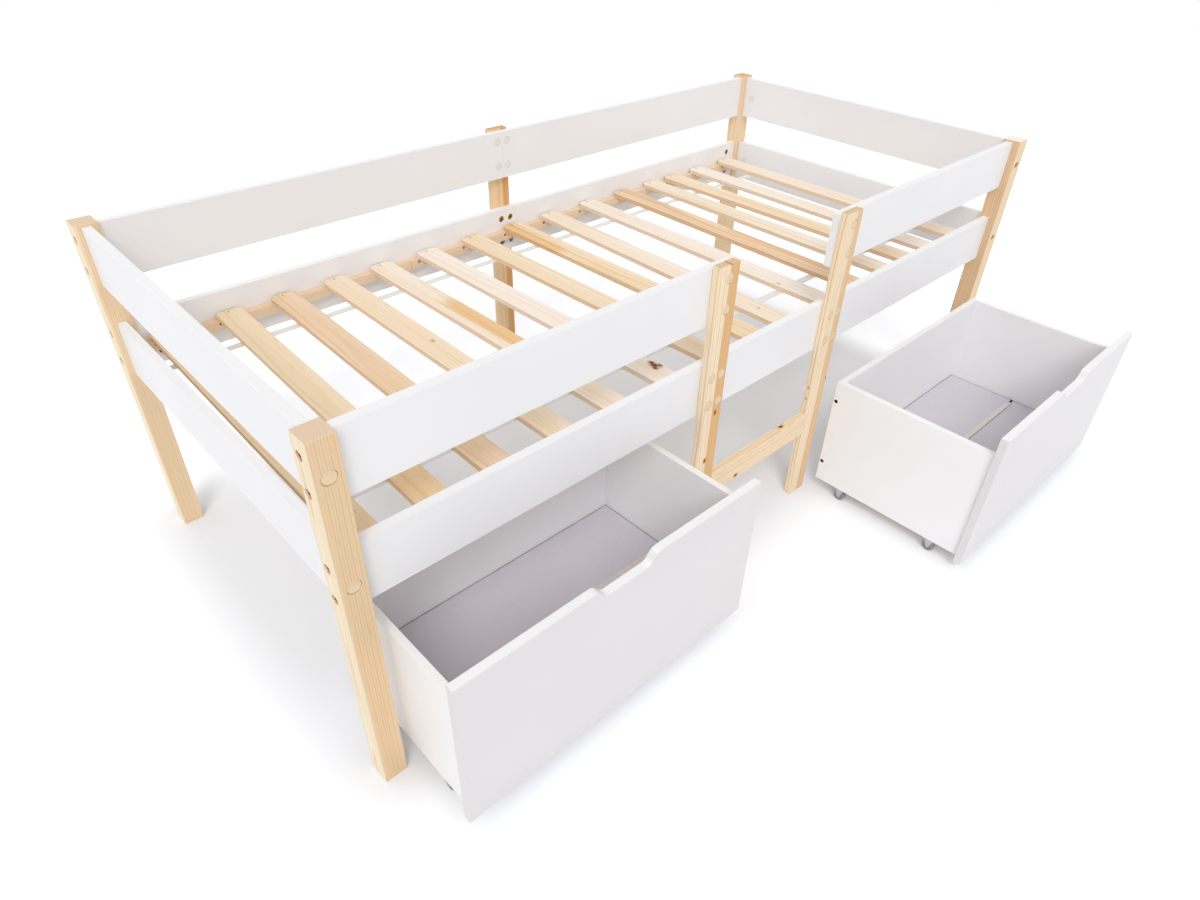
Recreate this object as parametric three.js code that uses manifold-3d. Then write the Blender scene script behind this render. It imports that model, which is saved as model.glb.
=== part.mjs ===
// A low raised single bed of pine posts and painted boards, with a step-in gap and a rung at the front,
// a roll of pine slats, and two painted drawers that roll out from under it on small casters.
// Millimetres, +Z up, +X along the bed's length, +Y from the front with the drawers towards the back.

import * as THREE from 'three';
import { mergeVertices } from 'three/addons/utils/BufferGeometryUtils.js';
import Module from 'manifold-3d';

const wasm = await Module();
wasm.setup();

// Bed frame
const LENGTH = 2080;
const WIDTH = 975;
const HEIGHT = 760;
const POST = 45;
const BOARD = 18;
const CLEARANCE = 0.3;

// Guard rails and lower rails
const RAIL_HEIGHT = 120;
const RAIL_DROP = 5;
const RAIL_SPACE = 85;

// Stiles and rung of the step-in gap, and the middle post at the back
const STRIP = 58;
const STEP_IN_WIDTH = 356;
const RUNG_TOP = 255;
const MIDDLE_POST_SHIFT = -6;

// Slats, their ledgers and their webbing
const SLAT_WIDTH = 60;
const SLAT_THICKNESS = 12;
const SLAT_CLIP = 9;
const SLAT_END_SPACE = 4;
const FIRST_SLAT_SPACE = 14;
const LAST_SLAT_SPACE = 36.5;
const LEDGER_THICKNESS = 18;
const LEDGER_HEIGHT = 24;
const LEDGER_TOP_RISE = 62;
const STRAP_WIDTH = 20;
const STRAP_THICKNESS = 1.2;
const STRAP_SPREAD = 600;
const STRAP_TAIL = 12;

// Drawer boxes
const DRAWER_SIDE_SPACE = 18.5;
const FRONT_HEIGHT = 361;
const FRONT_THICKNESS = 17;
const FRONT_FOOT = 24;
const FRONT_OVERHANG = 10;
const BOX_BOARD = 15;
const BOX_DEPTH = 398;
const SIDE_HEIGHT = 295;
const SIDE_FOOT = 38;
const FLOOR_THICKNESS = 12;
const FLOOR_TOP = 84;
const GRIP_WIDTH = 160;
const GRIP_DEPTH = 22;
const GRIP_SLOPE = 36;

// How far each drawer stands out of its bay in the photographed pose, and how far to one side of its middle
const LEFT_PULL = 176;
const RIGHT_PULL = 441;
const LEFT_SHIFT = -3;
const RIGHT_SHIFT = -16;

// Underframes and casters
const BATTEN_WIDTH = 30;
const SPINE_WIDTH = 34;
const WHEEL_RADIUS = 15;
const WHEEL_WIDTH = 12;
const AXLE_RADIUS = 2.5;
const HUB_RADIUS = 6;
const WEB_RECESS = 1.5;
const TREAD_CROWN = 1.2;
const TREAD_DEPTH = 4;
const PLATE_LENGTH = 36;
const PLATE_WIDTH = 24;
const PLATE_TUCK = 1;
const PLATE_THICKNESS = 2;
const CHEEK_THICKNESS = 1.6;
const CHEEK_TOP = 24;
const CHEEK_EYE = 5;
const WHEEL_SIDE_SPACE = 0.9;
const CASTER_SETBACK = 72;

// Segment counts
const ROUND_SEGMENTS = 20;
const CURVE_SEGMENTS = 8;

// Shares of the pitch, one for each slat from the left end: how far its middle lies off its even place,
// and how far its back end lies to the right of its front end
const slatSlipShares = [
  0, 0.01, -0.01, 0.03, 0.02, 0.07, 0.13, 0.17, 0.06, 0.24, 0.29, 0.28, 0.06, -0.06, 0,
];
const slatSkewShares = [
  0.07, 0.18, 0.14, 0.02, -0.06, -0.12, -0.14, -0.09, 0.14, 0.03, 0.08, 0.03, -0.08, 0, 0.03,
];

// Heights and faces that follow from the sizes above
const UPPER_RAIL_TOP = HEIGHT - RAIL_DROP;
const UPPER_RAIL_FOOT = UPPER_RAIL_TOP - RAIL_HEIGHT;
const LOWER_RAIL_TOP = UPPER_RAIL_FOOT - RAIL_SPACE;
const LOWER_RAIL_FOOT = LOWER_RAIL_TOP - RAIL_HEIGHT;
const FRONT_RAIL_FACE = BOARD + CLEARANCE;
const FRONT_RAIL_BACK = FRONT_RAIL_FACE + BOARD;
const BACK_RAIL_FACE = WIDTH - FRONT_RAIL_BACK;
const END_RAIL_FACE = (POST - BOARD) / 2;
const LEDGER_TOP = LOWER_RAIL_FOOT + LEDGER_TOP_RISE;
const SLAT_FOOT = LEDGER_TOP + CLEARANCE;
const SLAT_LENGTH = BACK_RAIL_FACE - FRONT_RAIL_BACK - 2 * SLAT_END_SPACE;
const SLAT_COUNT = slatSlipShares.length;
const FIRST_SLAT = POST + FIRST_SLAT_SPACE + SLAT_WIDTH / 2;
const LAST_SLAT = LENGTH - POST - LAST_SLAT_SPACE - SLAT_WIDTH / 2;
const SLAT_PITCH = (LAST_SLAT - FIRST_SLAT) / (SLAT_COUNT - 1);
const LEFT_STILE = (LENGTH - STEP_IN_WIDTH) / 2 - STRIP;
const RIGHT_STILE = (LENGTH + STEP_IN_WIDTH) / 2;
const MIDDLE_POST = (LENGTH - STRIP) / 2 + MIDDLE_POST_SHIFT;

const BAY_WIDTH = LEFT_STILE - POST;
const FRONT_LENGTH = BAY_WIDTH - 2 * DRAWER_SIDE_SPACE;
const SIDE_TOP = SIDE_FOOT + SIDE_HEIGHT;
const FLOOR_FOOT = FLOOR_TOP - FLOOR_THICKNESS;
const BOX_FRONT = FRONT_THICKNESS + CLEARANCE;
const BOX_BACK = BOX_FRONT + BOX_DEPTH;
const INNER_LEFT = FRONT_OVERHANG + BOX_BOARD + CLEARANCE;
const INNER_RIGHT = FRONT_LENGTH - INNER_LEFT;
const INNER_FRONT = BOX_FRONT;
const INNER_BACK = BOX_BACK - BOX_BOARD - CLEARANCE;
const UNDERFRAME_TOP = FLOOR_FOOT - CLEARANCE;
const UNDERFRAME_FOOT = SIDE_FOOT - CLEARANCE;
const PLATE_FOOT = UNDERFRAME_FOOT - PLATE_THICKNESS;
const CASTER_OFFSET = FRONT_OVERHANG + PLATE_TUCK + PLATE_WIDTH / 2;

// Materials
const pine = new THREE.MeshStandardMaterial({ color: 0xe8cfa4, roughness: 0.55, metalness: 0 });
const slatPine = new THREE.MeshStandardMaterial({ color: 0xe9c994, roughness: 0.6, metalness: 0 });
const whitePaint = new THREE.MeshStandardMaterial({ color: 0xf1f0ef, roughness: 0.42, metalness: 0 });
const floorBoard = new THREE.MeshStandardMaterial({ color: 0xbdb7bf, roughness: 0.5, metalness: 0 });
const webbing = new THREE.MeshStandardMaterial({ color: 0xe9e6df, roughness: 0.9, metalness: 0 });
const wheelPlastic = new THREE.MeshStandardMaterial({ color: 0x969b9f, roughness: 0.45, metalness: 0 });

function named(name, geometry, material) {
  const mesh = new THREE.Mesh(geometry, material);
  mesh.name = name;
  return mesh;
}

// A square-edged board between two corners
function board(name, material, low, high) {
  return named(name, boxBetween(low, high), material);
}

function boxBetween(low, high) {
  const size = high.map((value, axis) => value - low[axis]);
  const middle = high.map((value, axis) => (value + low[axis]) / 2);
  const geometry = new THREE.BoxGeometry(...size);
  geometry.translate(...middle);
  return geometry;
}

// Joins and cuts
function solid(geometry) {
  const bare = geometry.clone();
  bare.deleteAttribute('normal');
  bare.deleteAttribute('uv');
  const merged = mergeVertices(bare);
  const vertProperties = new Float32Array(merged.attributes.position.array);
  const triVerts = new Uint32Array(merged.index.array);
  return new wasm.Manifold(new wasm.Mesh({ numProp: 3, vertProperties, triVerts }));
}

function joined(geometries) {
  let whole = solid(geometries[0]);
  for (const geometry of geometries.slice(1)) {
    whole = whole.add(solid(geometry));
  }
  const mesh = whole.getMesh();
  const result = new THREE.BufferGeometry();
  result.setAttribute('position', new THREE.BufferAttribute(mesh.vertProperties, mesh.numProp));
  result.setIndex(new THREE.BufferAttribute(mesh.triVerts, 1));
  result.computeVertexNormals();
  return result;
}

// Posts stand on the floor at the four corners, and a flat strip stands behind the back rails' joint
function posts() {
  const right = LENGTH - POST;
  const back = WIDTH - POST;
  const corners = {
    front_left: [0, 0],
    front_right: [right, 0],
    back_left: [0, back],
    back_right: [right, back],
  };
  const meshes = Object.entries(corners).map(([place, [x, y]]) =>
    board(`post_${place}`, pine, [x, y, 0], [x + POST, y + POST, HEIGHT]));
  const middleLow = [MIDDLE_POST, WIDTH - BOARD, 0];
  const middleHigh = [MIDDLE_POST + STRIP, WIDTH, HEIGHT];
  meshes.push(board('post_back_middle', pine, middleLow, middleHigh));
  return meshes;
}

// Two strips in front of the rails frame the step-in gap, with a rung between them
function stepIn() {
  const stile = (name, x) => board(name, pine, [x, 0, 0], [x + STRIP, BOARD, HEIGHT]);
  const rungLow = [LEFT_STILE + STRIP + CLEARANCE, 0, RUNG_TOP - STRIP];
  const rungHigh = [RIGHT_STILE - CLEARANCE, BOARD, RUNG_TOP];
  const rung = board('rung', pine, rungLow, rungHigh);
  return [stile('stile_left', LEFT_STILE), stile('stile_right', RIGHT_STILE), rung];
}

// A rail along the bed at one height, between two x places, with its front face at y
function longRail(name, fromX, toX, y, foot) {
  return board(name, whitePaint, [fromX, y, foot], [toX, y + BOARD, foot + RAIL_HEIGHT]);
}

function frontRails() {
  const start = POST + CLEARANCE;
  const end = LENGTH - POST - CLEARANCE;
  const leftJoint = LEFT_STILE + STRIP / 2;
  const rightJoint = RIGHT_STILE + STRIP / 2;
  const half = CLEARANCE / 2;
  const y = FRONT_RAIL_FACE;
  return [
    longRail('rail_front_upper_left', start, LEFT_STILE + STRIP, y, UPPER_RAIL_FOOT),
    longRail('rail_front_upper_right', RIGHT_STILE, end, y, UPPER_RAIL_FOOT),
    longRail('rail_front_lower_left', start, leftJoint - half, y, LOWER_RAIL_FOOT),
    longRail('rail_front_lower_middle', leftJoint + half, rightJoint - half, y, LOWER_RAIL_FOOT),
    longRail('rail_front_lower_right', rightJoint + half, end, y, LOWER_RAIL_FOOT),
  ];
}

function backRails() {
  const start = POST + CLEARANCE;
  const end = LENGTH - POST - CLEARANCE;
  const joint = MIDDLE_POST + STRIP / 2;
  const half = CLEARANCE / 2;
  const levels = { upper: UPPER_RAIL_FOOT, lower: LOWER_RAIL_FOOT };
  return Object.entries(levels).flatMap(([level, foot]) => [
    longRail(`rail_back_${level}_left`, start, joint - half, BACK_RAIL_FACE, foot),
    longRail(`rail_back_${level}_right`, joint + half, end, BACK_RAIL_FACE, foot),
  ]);
}

function endRails() {
  const fromY = POST + CLEARANCE;
  const toY = WIDTH - POST - CLEARANCE;
  const ends = { left: END_RAIL_FACE, right: LENGTH - END_RAIL_FACE - BOARD };
  const levels = { upper: UPPER_RAIL_FOOT, lower: LOWER_RAIL_FOOT };
  return Object.entries(ends).flatMap(([end, x]) => Object.entries(levels).map(([level, foot]) =>
    board(`rail_${end}_${level}`, whitePaint, [x, fromY, foot], [x + BOARD, toY, foot + RAIL_HEIGHT])));
}

// Strips screwed to the inner faces of the lower rails carry the slats' ends
function ledgers() {
  const start = POST + CLEARANCE;
  const end = LENGTH - POST - CLEARANCE;
  const places = {
    front: FRONT_RAIL_BACK + CLEARANCE,
    back: BACK_RAIL_FACE - CLEARANCE - LEDGER_THICKNESS,
  };
  return Object.entries(places).map(([side, y]) => {
    const low = [start, y, LEDGER_TOP - LEDGER_HEIGHT];
    const high = [end, y + LEDGER_THICKNESS, LEDGER_TOP];
    return board(`ledger_${side}`, pine, low, high);
  });
}

// A slat is a thin strip with clipped corners
function slatGeometry() {
  const across = SLAT_WIDTH / 2;
  const along = SLAT_LENGTH / 2;
  const outline = new THREE.Shape();
  outline.moveTo(-across + SLAT_CLIP, -along);
  outline.lineTo(across - SLAT_CLIP, -along);
  outline.lineTo(across, -along + SLAT_CLIP);
  outline.lineTo(across, along - SLAT_CLIP);
  outline.lineTo(across - SLAT_CLIP, along);
  outline.lineTo(-across + SLAT_CLIP, along);
  outline.lineTo(-across, along - SLAT_CLIP);
  outline.lineTo(-across, -along + SLAT_CLIP);
  outline.closePath();
  return new THREE.ExtrudeGeometry(outline, { depth: SLAT_THICKNESS, bevelEnabled: false });
}

function slatMiddle(index) {
  return FIRST_SLAT + (index + slatSlipShares[index]) * SLAT_PITCH;
}

function slats() {
  const geometry = slatGeometry();
  return slatSkewShares.map((skewShare, index) => {
    const mesh = named(`slat_${String(index + 1).padStart(2, '0')}`, geometry, slatPine);
    mesh.position.set(slatMiddle(index), WIDTH / 2, SLAT_FOOT);
    mesh.rotation.z = -Math.atan2(skewShare * SLAT_PITCH, SLAT_LENGTH);
    return mesh;
  });
}

// Two webbing straps under the slats hold them in a roll
function straps() {
  const start = slatMiddle(0) - SLAT_WIDTH / 2 - STRAP_TAIL;
  const end = slatMiddle(SLAT_COUNT - 1) + SLAT_WIDTH / 2 + STRAP_TAIL;
  const top = SLAT_FOOT - CLEARANCE;
  const places = { front: WIDTH / 2 - STRAP_SPREAD / 2, back: WIDTH / 2 + STRAP_SPREAD / 2 };
  return Object.entries(places).map(([side, y]) => {
    const low = [start, y - STRAP_WIDTH / 2, top - STRAP_THICKNESS];
    const high = [end, y + STRAP_WIDTH / 2, top];
    return board(`slat_strap_${side}`, webbing, low, high);
  });
}

// The drawer's front panel, with a shallow hand grip cut into its top edge
function drawerFront(side) {
  const top = FRONT_HEIGHT;
  const left = (FRONT_LENGTH - GRIP_WIDTH) / 2;
  const right = left + GRIP_WIDTH;
  const bottom = top - GRIP_DEPTH;
  const bend = GRIP_SLOPE / 2;
  const outline = new THREE.Shape();
  outline.moveTo(0, 0);
  outline.lineTo(FRONT_LENGTH, 0);
  outline.lineTo(FRONT_LENGTH, top);
  outline.lineTo(right, top);
  outline.bezierCurveTo(right - bend, top, right - bend, bottom, right - GRIP_SLOPE, bottom);
  outline.lineTo(left + GRIP_SLOPE, bottom);
  outline.bezierCurveTo(left + bend, bottom, left + bend, top, left, top);
  outline.lineTo(0, top);
  outline.closePath();
  const options = { depth: FRONT_THICKNESS, bevelEnabled: false, curveSegments: CURVE_SEGMENTS };
  const geometry = new THREE.ExtrudeGeometry(outline, options);
  geometry.rotateX(Math.PI / 2);
  geometry.translate(0, FRONT_THICKNESS, FRONT_FOOT);
  return named(`${side}_drawer_front`, geometry, whitePaint);
}

function drawerBox(side) {
  const outer = FRONT_LENGTH - FRONT_OVERHANG;
  const sideLow = (x) => [x, BOX_FRONT, SIDE_FOOT];
  const sideHigh = (x) => [x + BOX_BOARD, BOX_BACK, SIDE_TOP];
  const leftX = FRONT_OVERHANG;
  const rightX = outer - BOX_BOARD;
  return [
    board(`${side}_drawer_side_left`, whitePaint, sideLow(leftX), sideHigh(leftX)),
    board(`${side}_drawer_side_right`, whitePaint, sideLow(rightX), sideHigh(rightX)),
    board(`${side}_drawer_back`, whitePaint, [INNER_LEFT, BOX_BACK - BOX_BOARD, SIDE_FOOT],
      [INNER_RIGHT, BOX_BACK, SIDE_TOP]),
    board(`${side}_drawer_floor`, floorBoard, [INNER_LEFT, INNER_FRONT, FLOOR_FOOT],
      [INNER_RIGHT, INNER_BACK, FLOOR_TOP]),
  ];
}

// One cheek of a caster fork, tapering to a round eye at the axle, as a plate across X
function cheekGeometry() {
  const rise = PLATE_FOOT + PLATE_THICKNESS / 2 - WHEEL_RADIUS;
  const outline = new THREE.Shape();
  outline.moveTo(-CHEEK_TOP / 2, rise);
  outline.lineTo(-CHEEK_EYE, 0);
  outline.absarc(0, 0, CHEEK_EYE, Math.PI, 2 * Math.PI, false);
  outline.lineTo(CHEEK_TOP / 2, rise);
  outline.closePath();
  const options = { depth: CHEEK_THICKNESS, bevelEnabled: false, curveSegments: CURVE_SEGMENTS };
  const geometry = new THREE.ExtrudeGeometry(outline, options);
  const alongY = new THREE.Vector3(0, 1, 0);
  const alongZ = new THREE.Vector3(0, 0, 1);
  const alongX = new THREE.Vector3(1, 0, 0);
  geometry.applyMatrix4(new THREE.Matrix4().makeBasis(alongY, alongZ, alongX));
  return geometry;
}

// A rigid caster's plate, cheeks and axle, around the wheel's centre
function casterPieces(x, y) {
  const inner = WHEEL_WIDTH / 2 + WHEEL_SIDE_SPACE;
  const plateLow = [x - PLATE_WIDTH / 2, y - PLATE_LENGTH / 2, PLATE_FOOT];
  const plateHigh = [x + PLATE_WIDTH / 2, y + PLATE_LENGTH / 2, UNDERFRAME_FOOT];
  const leftCheek = cheekGeometry().translate(x - inner - CHEEK_THICKNESS, y, WHEEL_RADIUS);
  const rightCheek = cheekGeometry().translate(x + inner, y, WHEEL_RADIUS);
  const axleLength = 2 * (inner + CHEEK_THICKNESS);
  const axle = new THREE.CylinderGeometry(AXLE_RADIUS, AXLE_RADIUS, axleLength, ROUND_SEGMENTS);
  axle.rotateZ(Math.PI / 2).translate(x, y, WHEEL_RADIUS);
  return [boxBetween(plateLow, plateHigh), leftCheek, rightCheek, axle];
}

function casterPlaces() {
  const xs = { left: CASTER_OFFSET, right: FRONT_LENGTH - CASTER_OFFSET };
  const ys = { front: BOX_FRONT + CASTER_SETBACK, back: BOX_BACK - CASTER_SETBACK };
  return Object.entries(xs).flatMap(([across, x]) =>
    Object.entries(ys).map(([along, y]) => ({ name: `${along}_${across}`, x, y })));
}

// Two battens and a spine under the floor, with the four casters fixed to the battens
function underframe(side) {
  const battenLow = (x) => [x, INNER_FRONT, UNDERFRAME_FOOT];
  const battenHigh = (x) => [x + BATTEN_WIDTH, INNER_BACK, UNDERFRAME_TOP];
  const batten = (x) => boxBetween(battenLow(x), battenHigh(x));
  const middle = (INNER_FRONT + INNER_BACK) / 2;
  const spineLow = [INNER_LEFT + BATTEN_WIDTH / 2, middle - SPINE_WIDTH / 2, UNDERFRAME_FOOT];
  const spineHigh = [INNER_RIGHT - BATTEN_WIDTH / 2, middle + SPINE_WIDTH / 2, UNDERFRAME_TOP];
  const pieces = [batten(INNER_LEFT), batten(INNER_RIGHT - BATTEN_WIDTH), boxBetween(spineLow, spineHigh)];
  for (const { x, y } of casterPlaces()) {
    pieces.push(...casterPieces(x, y));
  }
  return named(`${side}_drawer_underframe`, joined(pieces), pine);
}

// A caster wheel with a crowned tread, thinner web and hub, turned about X
function wheelGeometry() {
  const half = WHEEL_WIDTH / 2;
  const bore = AXLE_RADIUS + CLEARANCE;
  const rim = WHEEL_RADIUS - TREAD_DEPTH;
  const web = half - WEB_RECESS;
  const shoulder = WHEEL_RADIUS - TREAD_CROWN;
  const flat = half - TREAD_CROWN;
  const profile = [
    [bore, -half], [HUB_RADIUS, -half], [HUB_RADIUS, -web], [rim, -web], [rim, -half], [shoulder, -half],
    [WHEEL_RADIUS, -flat], [WHEEL_RADIUS, flat], [shoulder, half], [rim, half], [rim, web], [HUB_RADIUS, web],
    [HUB_RADIUS, half], [bore, half], [bore, -half],
  ].map(([radius, height]) => new THREE.Vector2(radius, height));
  const geometry = new THREE.LatheGeometry(profile, ROUND_SEGMENTS);
  return geometry.rotateZ(Math.PI / 2);
}

function wheels(side) {
  const geometry = wheelGeometry();
  return casterPlaces().map(({ name, x, y }) => {
    const mesh = named(`${side}_drawer_wheel_${name}`, geometry, wheelPlastic);
    mesh.position.set(x, y, WHEEL_RADIUS);
    return mesh;
  });
}

// A drawer near the middle of its bay, pulled out by a given distance
function drawer(side, bayStart, bayEnd, shift, pull) {
  const group = new THREE.Group();
  group.position.set((bayStart + bayEnd - FRONT_LENGTH) / 2 + shift, -pull, 0);
  group.add(drawerFront(side), ...drawerBox(side), underframe(side), ...wheels(side));
  return group;
}

const bed = new THREE.Group();
bed.add(...posts(), ...stepIn(), ...frontRails(), ...backRails(), ...endRails());
bed.add(...ledgers(), ...slats(), ...straps());
bed.add(drawer('left', POST, LEFT_STILE, LEFT_SHIFT, LEFT_PULL));
bed.add(drawer('right', RIGHT_STILE + STRIP, LENGTH - POST, RIGHT_SHIFT, RIGHT_PULL));

// The origin is on the floor under the middle of everything, with the drawers as they stand
bed.position.set(-LENGTH / 2, (Math.max(LEFT_PULL, RIGHT_PULL) - WIDTH) / 2, 0);

const group = new THREE.Group();
group.add(bed);

export default group;
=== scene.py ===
"""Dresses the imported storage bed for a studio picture: timber, paint, fasteners, casters, floor and lamps.

Sizes are in millimetres, but for the studio's, and MM turns them into the frame's metres."""
import bmesh
import bpy
import math
from collections import namedtuple
from mathutils import Matrix, Vector


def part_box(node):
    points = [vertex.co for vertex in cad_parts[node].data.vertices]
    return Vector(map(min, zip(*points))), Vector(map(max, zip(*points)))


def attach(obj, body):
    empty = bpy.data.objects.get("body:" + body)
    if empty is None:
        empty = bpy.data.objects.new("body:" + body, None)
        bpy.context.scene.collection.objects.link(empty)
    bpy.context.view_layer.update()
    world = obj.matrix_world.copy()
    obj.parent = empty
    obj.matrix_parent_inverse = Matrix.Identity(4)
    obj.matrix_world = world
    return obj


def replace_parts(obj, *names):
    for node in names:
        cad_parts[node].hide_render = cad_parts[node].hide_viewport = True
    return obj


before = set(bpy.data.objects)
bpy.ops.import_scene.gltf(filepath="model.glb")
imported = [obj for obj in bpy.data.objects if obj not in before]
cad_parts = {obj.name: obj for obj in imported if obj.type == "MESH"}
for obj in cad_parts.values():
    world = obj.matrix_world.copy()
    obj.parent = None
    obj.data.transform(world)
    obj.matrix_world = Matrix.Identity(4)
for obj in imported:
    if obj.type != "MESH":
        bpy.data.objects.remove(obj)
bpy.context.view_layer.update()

MM = 0.001
# The scale of a noise with one feature for each millimetre
FINE = 1 / MM
AXES = "XYZ"
DRAWERS = ("left", "right")
LEVELS = ("upper", "lower")
CORNERS = ("front_left", "front_right", "back_left", "back_right")
LEFTWARD, RIGHTWARD = Vector((-1, 0, 0)), Vector((1, 0, 0))
FRONTWARD, BACKWARD = Vector((0, -1, 0)), Vector((0, 1, 0))
UPWARD = Vector((0, 0, 1))
ENDS = (("left", LEFTWARD), ("right", RIGHTWARD))
# A mix node's colour sockets, whose names others share
MIX_FIRST, MIX_SECOND, MIX_RESULT = 6, 7, 2
# Where nearly all of a noise lies, and most of it
NOISE_REACH, NOISE_MIDDLE = (0.2, 0.8), (0.3, 0.7)


def middle(node):
    low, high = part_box(node)
    return (low + high) / 2


def face_of(node, out):
    """Where the face that looks one way lies, on the axis of that way."""
    low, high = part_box(node)
    return high.dot(out) if sum(out) > 0 else low.dot(-out)


def rgb(red, green, blue):
    """A linear colour from the values that a picture of it shows, 0 to 255."""
    def linear(value):
        share = value / 255
        return share / 12.92 if share <= 0.04045 else ((share + 0.055) / 1.055) ** 2.4
    return (linear(red), linear(green), linear(blue), 1)


def shade(colour, red, green, blue):
    """A colour with each channel dimmed to a share of itself."""
    return (colour[0] * red, colour[1] * green, colour[2] * blue, 1)


class Net:
    """The nodes of a new material or world, with short ways to add them."""

    def __init__(self, name, library=bpy.data.materials):
        self.owner = library.new(name)
        self.owner.use_nodes = True
        self.tree = self.owner.node_tree
        self.tree.nodes.clear()

    def add(self, kind, values=None, **settings):
        """A node. values are what its sockets hold, by their names or numbers."""
        node = self.tree.nodes.new(kind)
        for key, value in settings.items():
            setattr(node, key, value)
        for key, value in (values or {}).items():
            self.put(node.inputs[key], value)
        return node

    def put(self, socket, value):
        if isinstance(value, bpy.types.NodeSocket):
            self.tree.links.new(value, socket)
        else:
            socket.default_value = value

    def math(self, operation, first, second=0.0, third=0.0):
        node = self.add("ShaderNodeMath", operation=operation)
        for socket, value in zip(node.inputs, (first, second, third)):
            self.put(socket, value)
        return node.outputs[0]

    def times(self, first, second, plus=0.0):
        return self.math("MULTIPLY_ADD", first, second, plus)

    def less(self, first, second):
        return self.math("SUBTRACT", first, second)

    def vector(self, operation, first, second=(0, 0, 0)):
        node = self.add("ShaderNodeVectorMath", {0: first, 1: second}, operation=operation)
        return node.outputs["Value" if operation == "LENGTH" else "Vector"]

    def place(self):
        return self.add("ShaderNodeTexCoord").outputs["Object"]

    def normals(self):
        """How far the surface looks along each axis."""
        return self.split(self.add("ShaderNodeTexCoord").outputs["Normal"])

    def split(self, vector):
        return list(self.add("ShaderNodeSeparateXYZ", {"Vector": vector}).outputs)

    def join(self, x, y, z):
        return self.add("ShaderNodeCombineXYZ", {"X": x, "Y": y, "Z": z}).outputs[0]

    def noise(self, vector, scale, detail=2.0, roughness=0.5, colour=False):
        values = {"Vector": vector, "Scale": scale, "Detail": detail, "Roughness": roughness}
        node = self.add("ShaderNodeTexNoise", values)
        return node.outputs["Color" if colour else "Fac"]

    def span(self, value, low, high, to_low=0.0, to_high=1.0, smooth=False):
        """Runs from to_low to to_high while value runs from low to high."""
        values = {"Value": value, "From Min": low, "From Max": high, "To Min": to_low, "To Max": to_high}
        node = self.add("ShaderNodeMapRange", values, clamp=True)
        if smooth:
            node.interpolation_type = "SMOOTHSTEP"
        return node.outputs[0]

    def blend(self, share, first, second, kind="MIX"):
        values = {"Factor": share, MIX_FIRST: first, MIX_SECOND: second}
        node = self.add("ShaderNodeMix", values, data_type="RGBA", blend_type=kind)
        return node.outputs[MIX_RESULT]

    def tint(self, share, colour, factor):
        """A colour, times a factor as far as share goes."""
        return self.blend(share, colour, (*factor, 1), "MULTIPLY")

    def seen_directly(self):
        """1 for a ray from the camera or through gloss or glass, and 0 for a ray that lights something."""
        rays = self.add("ShaderNodeLightPath").outputs
        seen = self.math("MAXIMUM", rays["Is Camera Ray"], rays["Is Glossy Ray"])
        return self.math("MAXIMUM", seen, rays["Is Transmission Ray"])

    def bump(self, height, distance, strength):
        values = {"Height": height, "Distance": distance, "Strength": strength}
        return self.add("ShaderNodeBump", values).outputs[0]

    def finish(self, colour, roughness, normal, **others):
        """The material. others are its shader's other values, by socket name."""
        values = {"Base Color": colour, "Roughness": roughness, "Normal": normal}
        values.update((key.replace("_", " "), value) for key, value in others.items())
        return self.surface(self.add("ShaderNodeBsdfPrincipled", values))

    def surface(self, shader, output="ShaderNodeOutputMaterial"):
        self.add(output, {"Surface": shader.outputs[0]})
        return self.owner


# What clouds leave of a board's tone, and how far up a face looks as its painted top highlight begins and is
# full
CLOUD, TOP_HIGHLIGHT_LOOK = (0.94, 0.94, 0.94), (0.5, 0.9)


def painted(name, tone, top_highlight_tone):
    """A smooth sprayed board: a faint cloudiness, a painted highlight that whitens faces looking up, and a
    fine orange peel in the gloss.
    """
    net = Net(name)
    place = net.place()
    cloud = net.noise(place, 5.0, 3.0)
    # Painted highlight: faces that look up take the whiter top tone
    own = net.blend(net.span(net.normals()[2], *TOP_HIGHLIGHT_LOOK), tone, top_highlight_tone)
    colour = net.blend(net.span(cloud, *NOISE_MIDDLE, 0.4, 0.0), own, net.tint(1.0, own, CLOUD))
    peel = net.noise(place, 0.32 * FINE, 2.0)
    grit = net.noise(place, 1.1 * FINE, 1.0)
    height = net.math("ADD", net.times(peel, 0.7), net.times(grit, 0.3))
    rough = net.span(peel, *NOISE_REACH, 0.36, 0.50)
    return net.finish(colour, rough, net.bump(height, 0.05 * MM, 0.5), Specular_IOR_Level=0.4)


# The colours of each kind of stick's earlywood and end grain
WOODS = {
    "post": (rgb(250, 236, 208), rgb(230, 204, 176)),
    "stile": (rgb(250, 233, 206), rgb(222, 190, 152)),
    "white": (rgb(250, 242, 232), rgb(238, 214, 182)),
    "pale": (rgb(249, 237, 221), rgb(236, 210, 176)),
    "cream": (rgb(247, 230, 206), rgb(230, 198, 158)),
    "straw": (rgb(247, 228, 198), rgb(226, 192, 148)),
    "tan": (rgb(242, 218, 190), rgb(206, 166, 126)),
    "honey": (rgb(242, 218, 183), rgb(216, 174, 126)),
    "blond": (rgb(244, 221, 190), rgb(252, 243, 230)),
    "amber": (rgb(240, 212, 172), rgb(210, 164, 112)),
    "plug": (rgb(238, 218, 188), rgb(224, 198, 162)),
}
# What the wood's other parts keep of the earlywood's red, green and blue
LATEWOOD, HEARTWOOD = (0.78, 0.58, 0.37), (0.84, 0.62, 0.40)
# The second colour here darkens a stick's sides: partly rough sawn wood, partly painted shade
PATCH, SAWN_SIDE_SHADE = (0.90, 0.70, 0.44), (0.76, 0.58, 0.40)
STREAK, DRIFT = (0.92, 0.78, 0.58), (0.96, 0.90, 0.80)
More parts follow.
